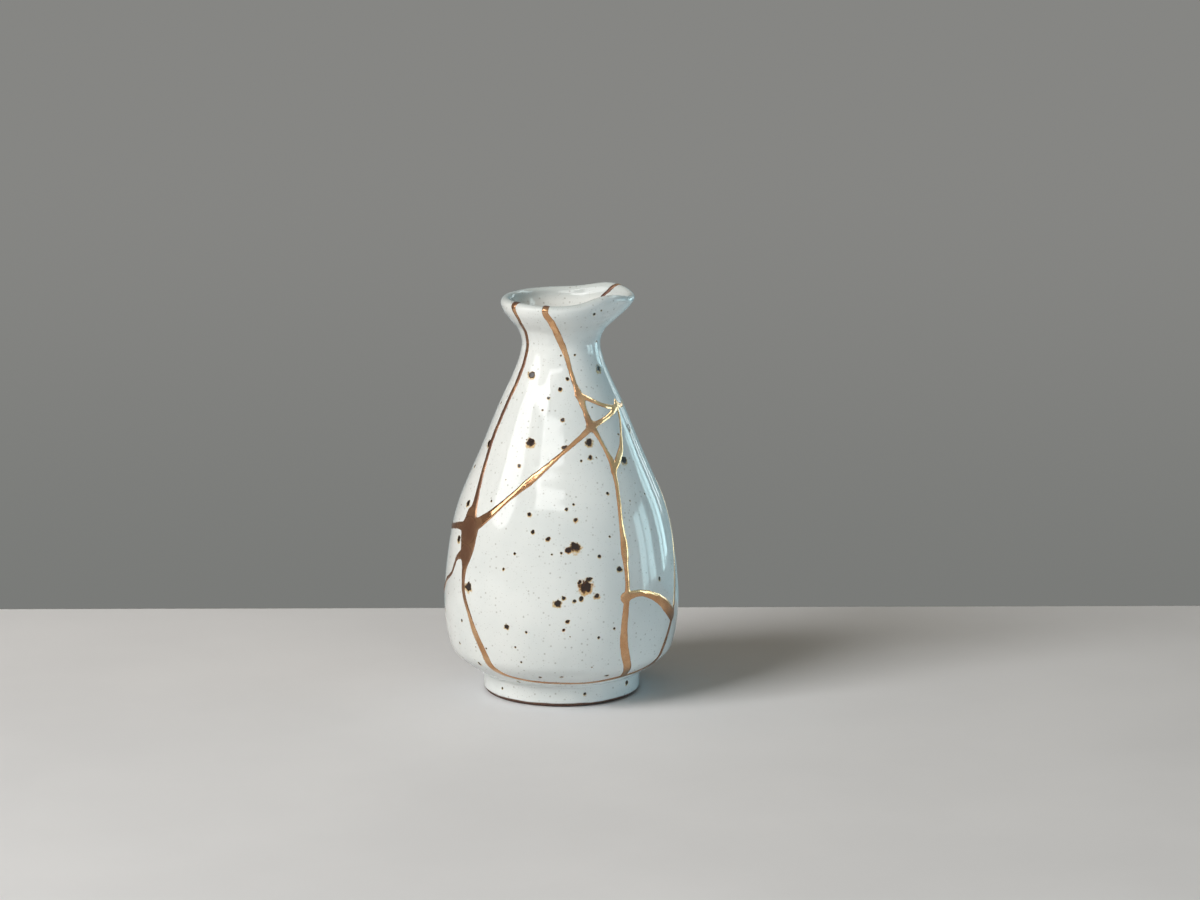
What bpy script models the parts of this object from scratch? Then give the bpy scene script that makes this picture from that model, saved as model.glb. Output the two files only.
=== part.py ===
"""A kintsugi vase: a thrown and glazed stoneware bottle, pinched to a pouring lip, that broke
once and was mended with lacquer and gold.

Metres, +Z up. The origin is on the vase's axis at the underside of its foot, the pouring lip
points along +X, and the side with the star-shaped mend faces -Y. Angles run round the vase
from its front, in degrees, and grow towards the pouring lip.
"""
from math import cos, exp, hypot, pi, radians, sin

import bmesh
import bpy
import numpy as np
from mathutils import Vector

MM = 0.001

# The thrown wall: heights above the table and outside radii
RIM_HEIGHT = 127.0 * MM
MOUTH_DEPTH = 14.0 * MM
NECK_HEIGHT = RIM_HEIGHT - MOUTH_DEPTH
BELLY_HEIGHT = 30.0 * MM
KNEE_HEIGHT = 14.0 * MM
LIP_RADIUS = 19.0 * MM
NECK_RADIUS = 12.3 * MM
BELLY_RADIUS = 37.5 * MM
KNEE_RADIUS = 34.8 * MM
WALL = 3.3 * MM
LIP_THICKNESS = 3.4 * MM
FLOOR_THICKNESS = 5.0 * MM

# The turned foot ring
FOOT_RADIUS = 25.0 * MM
FOOT_HEIGHT = 6.5 * MM
FOOT_RING_WIDTH = 5.0 * MM
FOOT_RECESS = 3.2 * MM
FOOT_ROUNDING = 1.7 * MM

# How the wall runs from the foot to the knee, on to the belly, to the neck and to the lip: each
# pair is a share of the height between the two and a share of the change of radius
UNDERSIDE_LINE = [(0.45, 0.55)]
BELLY_LINE = [(0.25, 0.52), (0.6, 0.87)]
SHOULDER_LINE = [
    (0.1, 0.018), (0.2, 0.058), (0.3, 0.116), (0.39, 0.199), (0.48, 0.320), (0.58, 0.465),
    (0.68, 0.600), (0.78, 0.739), (0.87, 0.879), (0.94, 0.967),
]
FLARE_LINE = [(0.34, 0.19), (0.62, 0.62), (0.86, 0.93)]

# How the inside turns into the floor: from what share of the belly's height, and then shares of
# the height that is left and of the radius there
FLOOR_CORNER_SHARE = 0.35
FLOOR_CORNER_LINE = [(0.36, 0.93), (0.06, 0.75), (0.0, 0.5)]

# The foot ring's inside: shares of the ring's width out from its bore, and of the recess
FOOT_INSIDE_LINE = [(0.12, 0.0), (-0.05, 0.2), (-0.3, 1.0)]

# The mouth as it was pinched by hand: how far and over what angle the soft rim moved
SPOUT_ANGLE = 90.0
SPOUT_REACH = 5.3 * MM
SPOUT_SPREAD = 40.0
SPOUT_DROP = 0.7 * MM
FRONT_CHEEK_ANGLE = 52.0
FRONT_CHEEK_SPREAD = 27.0
FRONT_CHEEK_PINCH = 0.3 * MM
FRONT_CHEEK_RISE = 2.6 * MM
BACK_CHEEK_ANGLE = 121.5
BACK_CHEEK_SPREAD = 30.0
BACK_CHEEK_PINCH = 0.55 * MM
BACK_CHEEK_RISE = 2.75 * MM
BACK_RIM_RISE = 0.9 * MM
BACK_RIM_ANGLE = 172.0
BACK_RIM_SPREAD = 100.0
FRONT_RIM_DIP = 0.45 * MM
FRONT_RIM_ANGLE = 0.0
FRONT_RIM_SPREAD = 50.0
REACH_POWER = 2.1
RISE_POWER = 2.0

# The mend: a low bead of lacquer and gold over every break
BEAD_WIDTH = 2.0 * MM
BEAD_THICKNESS = 0.45 * MM
BEAD_CROWN = 0.2 * MM
BEAD_GAP = 0.3 * MM
BEAD_END_SHARE = 0.45

# How finely the shapes are cut
TURNED_SIDES = 46
FOOT_STEPS = 3
CURVE_STEPS = 8
WALL_LONGEST_STEP = 8.0 * MM
WALL_TURN = 9.0
SEAM_LONGEST_STEP = 5.0 * MM
SEAM_TURN = 16.0
SLIVER = 1.0 * MM
PROBE_DEGREES = 0.5
PROBE_PERCENT = 0.25

# The breaks. Each point is (degrees round, percent of the rim height, share of the bead's width).
# A height past 98.7 goes on over the lip and down the inside of the mouth.
SEAM_ROUTES = {
    "left_neck": [
        (-52, 107, 0.75), (-52, 103, 1.0), (-52, 100.5, 1.3), (-51, 98.5, 1.0), (-49, 96.5, 0.85),
        (-55, 92, 0.8), (-59, 87.5, 0.85), (-61, 80, 1.0), (-64, 73, 1.0), (-66, 66, 1.05),
        (-64, 61, 1.0), (-60, 54, 1.1), (-58, 50, 1.6), (-58, 45, 3.0),
    ],
    "star_fill": [(-59, 47.5, 3.0), (-58, 45, 4.75), (-57, 41, 4.2), (-57, 38, 3.2), (-57, 34.5, 1.1)],
    "star_left_arm": [
        (-58, 44.5, 2.25), (-69, 44.2, 1.2), (-89, 42.3, 0.9), (-108, 43, 0.9), (-128, 40, 1.1),
        (-150, 42, 0.9), (-168, 46, 1.2), (-188, 44.5, 1.0), (-208, 46, 0.9), (-226, 49, 1.3),
        (-248, 47.5, 0.9), (-264, 49.5, 1.2),
    ],
    "left_flank": [
        (-60, 38, 1.8), (-66, 36.3, 0.85), (-70, 32.5, 0.65), (-79, 29.5, 0.7), (-89, 25.5, 0.8),
        (-104, 23.5, 0.9), (-122, 25, 1.1), (-142, 22, 0.8), (-161, 24.5, 1.0), (-180, 29, 1.0),
        (-194, 35, 0.9), (-202, 41, 1.1), (-208, 46, 1.2),
    ],
    "front_left_foot": [
        (-57, 36, 1.5), (-57, 32, 0.95), (-56, 29, 0.9), (-51, 24, 0.85), (-47, 19.5, 1.15),
        (-43, 15.5, 1.25), (-39, 10.5, 1.3), (-34, 8.8, 0.85),
    ],
    "foot_line": [
        (-38, 10, 1.1), (-34, 8.8, 0.8), (-19, 7.5, 0.8), (-2, 7.1, 0.8), (18, 6.8, 0.8),
        (38, 7.6, 1.0), (52, 8.4, 0.8), (61, 9.6, 0.9),
    ],
    "right_flank": [
        (58, 9.2, 0.8), (61, 11, 0.9), (64, 15, 0.9), (69, 20.5, 0.9), (73, 25.5, 0.9),
        (77, 31, 0.9), (82, 36, 0.9), (90, 42, 0.95), (96, 49.5, 1.2), (104, 57, 0.9),
        (108, 65, 1.0), (106, 74.5, 1.2),
    ],
    "front_neck": [
        (-15, 107, 0.75), (-15, 103, 1.0), (-15, 100.5, 1.1), (-15, 98.5, 1.0), (-10, 96, 1.15),
        (-4, 92, 1.05), (3, 89, 0.95), (9, 86, 0.75), (16, 80, 0.75), (20, 77, 1.2), (22.5, 74, 0.9),
        (26, 70, 1.3),
    ],
    "diagonal": [
        (-58, 45, 2.0), (-50, 46.5, 1.9), (-44, 48.5, 1.4), (-34, 52.5, 0.95), (-27, 55.2, 1.0),
        (-20, 57.7, 1.3), (-10, 61, 0.85), (0, 64, 0.65), (12, 67, 0.75), (22, 69.2, 0.95),
        (27, 70.4, 1.3),
    ],
    "small_shard_top": [
        (18, 77.5, 1.0), (28, 76.6, 0.75), (45, 74.6, 0.7), (60, 73.7, 0.75), (67, 74.0, 0.95),
        (76, 73.4, 0.8), (90, 73.6, 0.8), (109, 73.0, 1.0),
    ],
    "small_shard_foot": [(25, 70, 1.1), (36, 71.0, 0.8), (50, 72.3, 0.75), (65, 73.8, 0.9)],
    "right_shard": [
        (66, 74.8, 0.9), (62, 71, 0.5), (56, 67.6, 0.55), (51, 64.6, 0.9), (44.5, 62, 1.2),
        (37, 59.2, 0.85),
    ],
    "knot_down": [
        (26, 70.5, 1.2), (31, 67.5, 0.75), (35, 64, 0.75), (37.5, 61.5, 1.1), (37, 57, 0.75),
        (35, 51, 0.75), (34, 47, 0.8), (34, 41, 1.4), (34, 36, 0.85), (34, 32, 0.85),
        (33, 28, 1.0), (31.5, 22, 1.25), (32, 17, 1.45), (35, 12.5, 1.45), (39, 8.6, 1.3),
    ],
    "right_wedge": [
        (32, 29.3, 1.6), (39, 29.8, 1.1), (47, 29, 1.15), (56, 26.7, 1.6), (63, 24.1, 2.2),
        (69, 21.5, 2.1),
    ],
    "back_neck": [
        (128, 108, 0.6), (123.5, 104, 0.65), (119, 102.5, 0.65), (116, 101, 0.75), (115, 98.5, 0.85),
        (116, 92, 0.8), (119, 85, 0.9), (115, 79, 1.1), (104, 71.5, 1.2),
    ],
}


def smooth_curve(stations, steps=CURVE_STEPS):
    """Points on the smooth curve through the stations, as tuples of any length."""
    knots = [np.array(station, dtype=float) for station in stations]
    knots = [2 * knots[0] - knots[1]] + knots + [2 * knots[-1] - knots[-2]]
    points = []
    for before, start, end, after in zip(knots, knots[1:], knots[2:], knots[3:]):
        gaps = [
            max(np.linalg.norm(b - a), 1e-9) ** 0.5
            for a, b in ((before, start), (start, end), (end, after))
        ]
        leave = gaps[1] * ((start - before) / gaps[0] - (end - before) / (gaps[0] + gaps[1])) + end - start
        arrive = gaps[1] * ((after - end) / gaps[2] - (after - start) / (gaps[1] + gaps[2])) + end - start
        for step in range(steps):
            t = step / steps
            points.append(
                (2 * t**3 - 3 * t**2 + 1) * start + (t**3 - 2 * t**2 + t) * leave
                + (3 * t**2 - 2 * t**3) * end + (t**3 - t**2) * arrive
            )
    points.append(knots[-2])
    return [tuple(point) for point in points]


def thin_out(places, longest, turn):
    """Which of a dense path's places to keep: its ends, and wherever it has run or turned far enough."""
    kept = [0]
    ahead = Vector(places[1]) - Vector(places[0])
    for index in range(1, len(places) - 1):
        here = Vector(places[index])
        onward = Vector(places[index + 1]) - here
        if (here - Vector(places[kept[-1]])).length >= longest or ahead.angle(onward) >= radians(turn):
            kept.append(index)
            ahead = onward
    return kept + [len(places) - 1]


def arc(centre, radius, start, end, steps):
    """Points on an arc of a profile, from one angle to another, both ends included."""
    angles = [start + (end - start) * step / steps for step in range(steps + 1)]
    return [(centre[0] + radius * cos(a), centre[1] + radius * sin(a)) for a in angles]


def between(start, end, line):
    """Stations between two points of the wall, by their shares of the rise and of the widening."""
    (r0, z0), (r1, z1) = start, end
    return [(r0 + across * (r1 - r0), z0 + up * (z1 - z0)) for up, across in line]


def outer_wall():
    """The outside of the wall from the top of the foot up to the lip's widest point."""
    marks = [
        (FOOT_RADIUS, FOOT_HEIGHT),
        (KNEE_RADIUS, KNEE_HEIGHT),
        (BELLY_RADIUS, BELLY_HEIGHT),
        (NECK_RADIUS, NECK_HEIGHT),
        (LIP_RADIUS, RIM_HEIGHT - LIP_THICKNESS / 2),
    ]
    lines = [UNDERSIDE_LINE, BELLY_LINE, SHOULDER_LINE, FLARE_LINE]
    stations = marks[:1]
    for start, end, line in zip(marks, marks[1:], lines):
        stations += between(start, end, line) + [end]
    return smooth_curve(stations)


def lip_round():
    """The rounded lip, from its outside over the top to its inside."""
    half = LIP_THICKNESS / 2
    return arc((LIP_RADIUS - half, RIM_HEIGHT - half), half, 0.0, pi, CURVE_STEPS)


def inner_wall():
    """The inside of the wall from below the lip down to the middle of the floor."""
    floor_level = FOOT_RECESS + FLOOR_THICKNESS
    turn_level = floor_level + FLOOR_CORNER_SHARE * (BELLY_HEIGHT - floor_level)
    inside = []
    wall = outer_wall()
    for (r0, z0), (r1, z1) in zip(wall, wall[2:]):
        run = hypot(r1 - r0, z1 - z0)
        r = (r0 + r1) / 2 - WALL * (z1 - z0) / run
        z = (z0 + z1) / 2 + WALL * (r1 - r0) / run
        if turn_level < z < RIM_HEIGHT - LIP_THICKNESS:
            inside.append((r, z))
    inside.reverse()
    turn_radius, turn_level = inside[-1]
    corner = [
        (across * turn_radius, floor_level + up * (turn_level - floor_level))
        for up, across in FLOOR_CORNER_LINE
    ]
    return inside[:-1] + smooth_curve(inside[-2:] + corner)[CURVE_STEPS:] + [(0.0, floor_level)]


def foot_profile():
    """The foot ring and the recess under it, from the ring's outside to the axis."""
    bore = FOOT_RADIUS - FOOT_RING_WIDTH
    outside = arc((FOOT_RADIUS - FOOT_ROUNDING, FOOT_ROUNDING), FOOT_ROUNDING, 0.0, -pi / 2, FOOT_STEPS)
    inside = [(bore + out * FOOT_RING_WIDTH, up * FOOT_RECESS) for out, up in FOOT_INSIDE_LINE]
    return outside + inside + [(0.0, FOOT_RECESS)]


def bump(angle, centre, spread):
    """A smooth hump round the rim, one at its centre and falling away over its spread."""
    away = (angle - centre + 180.0) % 360.0 - 180.0
    return exp(-((away / spread) ** 2))


def pinch_mouth(angle, radius, height):
    """Where a point of the turned wall went when the soft mouth was pinched to a spout."""
    share = max(0.0, (height - NECK_HEIGHT) / (RIM_HEIGHT - NECK_HEIGHT))
    front_cheek = bump(angle, FRONT_CHEEK_ANGLE, FRONT_CHEEK_SPREAD)
    back_cheek = bump(angle, BACK_CHEEK_ANGLE, BACK_CHEEK_SPREAD)
    spout = bump(angle, SPOUT_ANGLE, SPOUT_SPREAD)
    outward = SPOUT_REACH * spout - FRONT_CHEEK_PINCH * front_cheek - BACK_CHEEK_PINCH * back_cheek
    upward = (
        FRONT_CHEEK_RISE * front_cheek
        + BACK_CHEEK_RISE * back_cheek
        + BACK_RIM_RISE * bump(angle, BACK_RIM_ANGLE, BACK_RIM_SPREAD)
        - SPOUT_DROP * spout
        - FRONT_RIM_DIP * bump(angle, FRONT_RIM_ANGLE, FRONT_RIM_SPREAD)
    )
    return radius + outward * share**REACH_POWER, height + upward * share**RISE_POWER


def place(angle, radius, height):
    """The point in space at an angle round the vase, a radius and a height, on the pinched wall."""
    radius, height = pinch_mouth(angle, radius, height)
    turn = radians(angle)
    return Vector((radius * sin(turn), -radius * cos(turn), height))


class WallPath:
    """The way up the outside, over the lip and down the inside, by percent of the rim height."""

    def __init__(self):
        wall = outer_wall()
        over = lip_round()[1:] + inner_wall()
        lengths = [0.0]
        for (r0, z0), (r1, z1) in zip([wall[-1]] + over, over):
            lengths.append(lengths[-1] + hypot(r1 - r0, z1 - z0))
        levels = [z for _, z in wall] + [wall[-1][1] + length for length in lengths[1:]]
        self.levels = levels
        self.radii = [r for r, _ in wall + over]
        self.heights = [z for _, z in wall + over]

    def at(self, angle, percent):
        level = percent / 100.0 * RIM_HEIGHT
        radius = float(np.interp(level, self.levels, self.radii))
        height = float(np.interp(level, self.levels, self.heights))
        return place(angle, radius, height)

    def frame(self, angle, percent):
        """How far a degree and a percent move on the wall, and the way out of it."""
        ahead = self.at(angle + PROBE_DEGREES, percent)
        above = self.at(angle, percent + PROBE_PERCENT)
        around = (ahead - self.at(angle - PROBE_DEGREES, percent)) / (2 * PROBE_DEGREES)
        along = (above - self.at(angle, percent - PROBE_PERCENT)) / (2 * PROBE_PERCENT)
        return around, along, around.cross(along).normalized()

    def beside(self, angle, percent, side, reach, lift):
        """The point a reach away to one side, measured on the wall, and lifted off it."""
        around, along, _ = self.frame(angle, percent)
        angle += reach * side.dot(around) / around.length_squared
        percent += reach * side.dot(along) / along.length_squared
        return self.at(angle, percent) + self.frame(angle, percent)[2] * lift


def glaze_material():
    material = bpy.data.materials.new("white_glaze")
    material.use_nodes = True
    shader = material.node_tree.nodes["Principled BSDF"]
    shader.inputs["Base Color"].default_value = (0.72, 0.74, 0.70, 1.0)
    shader.inputs["Roughness"].default_value = 0.12
    shader.inputs["Metallic"].default_value = 0.0
    return material


def gold_material():
    material = bpy.data.materials.new("gold_lacquer")
    material.use_nodes = True
    shader = material.node_tree.nodes["Principled BSDF"]
    shader.inputs["Base Color"].default_value = (0.62, 0.34, 0.14, 1.0)
    shader.inputs["Roughness"].default_value = 0.28
    shader.inputs["Metallic"].default_value = 1.0
    return material


def new_object(name, mesh, collection, material):
    piece = bpy.data.objects.new(name, mesh)
    piece.data.materials.append(material)
    collection.objects.link(piece)
    return piece


def make_mesh_of(piece):
    """The mesh that a piece's modifiers leave, as a mesh of its own."""
    depsgraph = bpy.context.evaluated_depsgraph_get()
    return bpy.data.meshes.new_from_object(piece.evaluated_get(depsgraph))


def make_vase(collection):
    """The bottle: its profile turned round the axis, then its mouth pinched."""
    wall = outer_wall()
    inside = inner_wall()
    wall = [wall[index] for index in thin_out([(r, 0, z) for r, z in wall], WALL_LONGEST_STEP, WALL_TURN)]
    inside = [
        inside[index] for index in thin_out([(r, 0, z) for r, z in inside], WALL_LONGEST_STEP, WALL_TURN)
    ]
    over_lip = lip_round()[::2]
    over_lip.reverse()
    wall.reverse()
    profile = inside[::-1] + over_lip[:-1] + wall + foot_profile()

    mesh = bpy.data.meshes.new("vase_profile")
    mesh.from_pydata([(r, 0.0, z) for r, z in profile], [(i, i + 1) for i in range(len(profile) - 1)], [])
    turned = new_object("vase", mesh, collection, glaze_material())
    screw = turned.modifiers.new("turn", "SCREW")
    screw.axis = "Z"
    screw.steps = TURNED_SIDES
    screw.render_steps = TURNED_SIDES
    screw.use_merge_vertices = True
    screw.merge_threshold = 0.00005
    screw.use_smooth_shade = True

    pinched = make_mesh_of(turned)
    turned.modifiers.remove(screw)
    for vertex in pinched.vertices:
        x, y, z = vertex.co
        angle = np.degrees(np.arctan2(x, -y))
        vertex.co = place(angle, hypot(x, y), z)
    turned.data = pinched
    bpy.data.meshes.remove(mesh)
    return turned


def seam_strip(path, route):
    """The open strip of one mended break, humped along its middle, off the glaze by the gap."""
    dense = smooth_curve(route)
    places = [path.at(angle, percent) for angle, percent, _ in dense]
    kept = thin_out(places, SEAM_LONGEST_STEP, SEAM_TURN)
    strip = bmesh.new()
    rows = []
    for index in kept:
        angle, percent, width_share = dense[index]
        ahead = places[min(index + 1, len(places) - 1)] - places[max(index - 1, 0)]
        side = path.frame(angle, percent)[2].cross(ahead).normalized()
        half = width_share * BEAD_WIDTH / 2
        if index in (kept[0], kept[-1]):
            half *= BEAD_END_SHARE
        rows.append([
            strip.verts.new(path.beside(angle, percent, side, reach, lift))
            for reach, lift in ((-half, BEAD_GAP), (0.0, BEAD_GAP + BEAD_CROWN), (half, BEAD_GAP))
        ])
    for low, high in zip(rows, rows[1:]):
        for left in (0, 1):
            strip.faces.new((low[left], high[left], high[left + 1], low[left + 1]))
    mesh = bpy.data.meshes.new("seam_strip")
    strip.to_mesh(mesh)
    strip.free()
    return mesh


def drop_slivers(mesh):
    """Remove the specks smaller than a sliver that a union leaves where two beads cross."""
    shells = bmesh.new()
    shells.from_mesh(mesh)
    bmesh.ops.triangulate(shells, faces=shells.faces[:])
    unseen = set(shells.faces)
    specks = []
    while unseen:
        shell = [unseen.pop()]
        for face in shell:
            for edge in face.edges:
                beside = edge.link_faces if len(edge.link_faces) == 2 else ()
                for other in beside:
                    if other in unseen:
                        unseen.remove(other)
                        shell.append(other)
        corners = [vertex.co for face in shell for vertex in face.verts]
        if max((corner - corners[0]).length for corner in corners) < SLIVER:
            specks += shell
    bmesh.ops.delete(shells, geom=specks, context="FACES")
    shells.to_mesh(mesh)
    shells.free()


def make_gold_seams(collection, cutters):
    """The mend: every break's strip thickened to a bead, and all of them joined to one body."""
    path = WallPath()
    gold = gold_material()
    beads = []
    for name, route in SEAM_ROUTES.items():
        home = cutters if beads else collection
        bead = new_object(name, seam_strip(path, route), home, gold)
        thicken = bead.modifiers.new("thicken", "SOLIDIFY")
        thicken.thickness = BEAD_THICKNESS
        thicken.offset = 1.0
        beads.append(bead)
    for bead in beads[1:]:
        bead.hide_render = True
        bead.display_type = "WIRE"
    seams = beads[0]
    seams.name = "gold_seams"
    join = seams.modifiers.new("join", "BOOLEAN")
    join.operation = "UNION"
    join.operand_type = "COLLECTION"
    join.collection = cutters
    join.solver = "EXACT"
    joined = make_mesh_of(seams)
    drop_slivers(joined)
    seams.modifiers.clear()
    seams.data = joined
    return seams


def main():
    for old in list(bpy.data.objects):
        bpy.data.objects.remove(old, do_unlink=True)
    vase_collection = bpy.data.collections.new("kintsugi_vase")
    cutters = bpy.data.collections.new("seam_beads_to_join")
    bpy.context.scene.collection.children.link(vase_collection)
    bpy.context.scene.collection.children.link(cutters)
    make_vase(vase_collection)
    make_gold_seams(vase_collection, cutters)


main()
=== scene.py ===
"""The looks of a kintsugi vase: white speckled glaze over stoneware, mended with lacquer and gold.

Metres, +Z up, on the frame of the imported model. Angles run round the vase from its front (-Y),
in degrees, and grow towards the pouring lip (+X).
"""
from math import cos, hypot, pi, radians, sin, tan

import bmesh
import bpy
import numpy as np
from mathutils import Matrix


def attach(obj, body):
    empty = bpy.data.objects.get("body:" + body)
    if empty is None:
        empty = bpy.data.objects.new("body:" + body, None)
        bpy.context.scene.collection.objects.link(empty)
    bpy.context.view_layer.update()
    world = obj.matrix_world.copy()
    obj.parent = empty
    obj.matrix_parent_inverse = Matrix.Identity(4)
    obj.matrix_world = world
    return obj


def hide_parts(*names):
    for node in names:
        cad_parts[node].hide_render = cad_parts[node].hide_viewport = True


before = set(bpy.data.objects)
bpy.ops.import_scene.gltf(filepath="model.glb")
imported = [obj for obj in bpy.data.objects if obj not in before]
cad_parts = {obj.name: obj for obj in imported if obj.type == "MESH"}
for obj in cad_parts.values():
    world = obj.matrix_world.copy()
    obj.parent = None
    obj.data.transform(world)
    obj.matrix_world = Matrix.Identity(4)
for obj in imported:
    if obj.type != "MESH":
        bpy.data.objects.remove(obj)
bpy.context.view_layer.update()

MM = 0.001

# The thrown wall: heights above the table and outside radii
RIM_HEIGHT = 127.0 * MM
MOUTH_DEPTH = 14.0 * MM
NECK_HEIGHT = RIM_HEIGHT - MOUTH_DEPTH
BELLY_HEIGHT = 30.0 * MM
KNEE_HEIGHT = 14.0 * MM
LIP_RADIUS = 19.0 * MM
NECK_RADIUS = 12.3 * MM
BELLY_RADIUS = 37.5 * MM
KNEE_RADIUS = 34.8 * MM
WALL = 3.3 * MM
LIP_THICKNESS = 3.4 * MM
FLOOR_THICKNESS = 5.0 * MM

# The turned foot ring
FOOT_RADIUS = 25.0 * MM
FOOT_HEIGHT = 6.5 * MM
FOOT_RING_WIDTH = 5.0 * MM
FOOT_RECESS = 3.2 * MM
FOOT_ROUNDING = 1.7 * MM

# How the wall runs from the foot to the knee, on to the belly, to the neck and to the lip: each
# pair is a share of the height between the two and a share of the change of radius
UNDERSIDE_LINE = [(0.45, 0.55)]
BELLY_LINE = [(0.25, 0.52), (0.6, 0.87)]
SHOULDER_LINE = [
    (0.1, 0.018), (0.2, 0.058), (0.3, 0.116), (0.39, 0.199), (0.48, 0.320), (0.58, 0.465),
    (0.68, 0.600), (0.78, 0.739), (0.87, 0.879), (0.94, 0.967),
]
FLARE_LINE = [(0.34, 0.19), (0.62, 0.62), (0.86, 0.93)]

# Inside, the wall turns to the floor below a share of the way up to the belly, by shares of that
# turn's height and radius
FLOOR_CORNER_SHARE = 0.35
FLOOR_CORNER_LINE = [(0.36, 0.93), (0.06, 0.75), (0.0, 0.5)]

# The inside of the foot ring, by shares of the ring's width and of the recess's depth
FOOT_INSIDE_LINE = [(0.12, 0.0), (-0.05, 0.2), (-0.3, 1.0)]

# How finely the bottle is cut
TURNED_SIDES = 288
WALL_STEP = 0.58 * MM
MOUTH_STEP = 1.0 * MM
INSIDE_STEP = 2.8 * MM
CURVE_STEPS = 8

# The circle that carries the profile is next to nothing, and its points on the axis are welded
CIRCLE_RADIUS = 1e-6
WELD = 5e-6

# The mouth as it was pinched by hand, and the unevenness that the potter's hands left
CLAY_SIZES = {
    "Turned Sides": TURNED_SIDES,
    "Neck Height": NECK_HEIGHT,
    "Rim Height": RIM_HEIGHT,
    "Spout Angle": 90.0,
    "Spout Reach": 5.3 * MM,
    "Spout Spread": 40.0,
    "Spout Drop": 0.7 * MM,
    "Front Cheek Angle": 52.0,
    "Front Cheek Spread": 27.0,
    "Front Cheek Pinch": 0.3 * MM,
    "Front Cheek Rise": 2.6 * MM,
    "Back Cheek Angle": 121.5,
    "Back Cheek Spread": 30.0,
    "Back Cheek Pinch": 0.55 * MM,
    "Back Cheek Rise": 2.75 * MM,
    "Back Rim Rise": 0.9 * MM,
    "Back Rim Angle": 172.0,
    "Back Rim Spread": 100.0,
    "Front Rim Dip": 0.45 * MM,
    "Front Rim Angle": 0.0,
    "Front Rim Spread": 50.0,
    "Reach Power": 2.1,
    "Rise Power": 2.0,
    "Out Of Round": 0.3 * MM,
    "Soft Waves": 0.08 * MM,
    "Ring Depth": 0.008 * MM,
    "Ring Pitch": 5.5 * MM,
    "Level Foot": 7.0 * MM,
}

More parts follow.
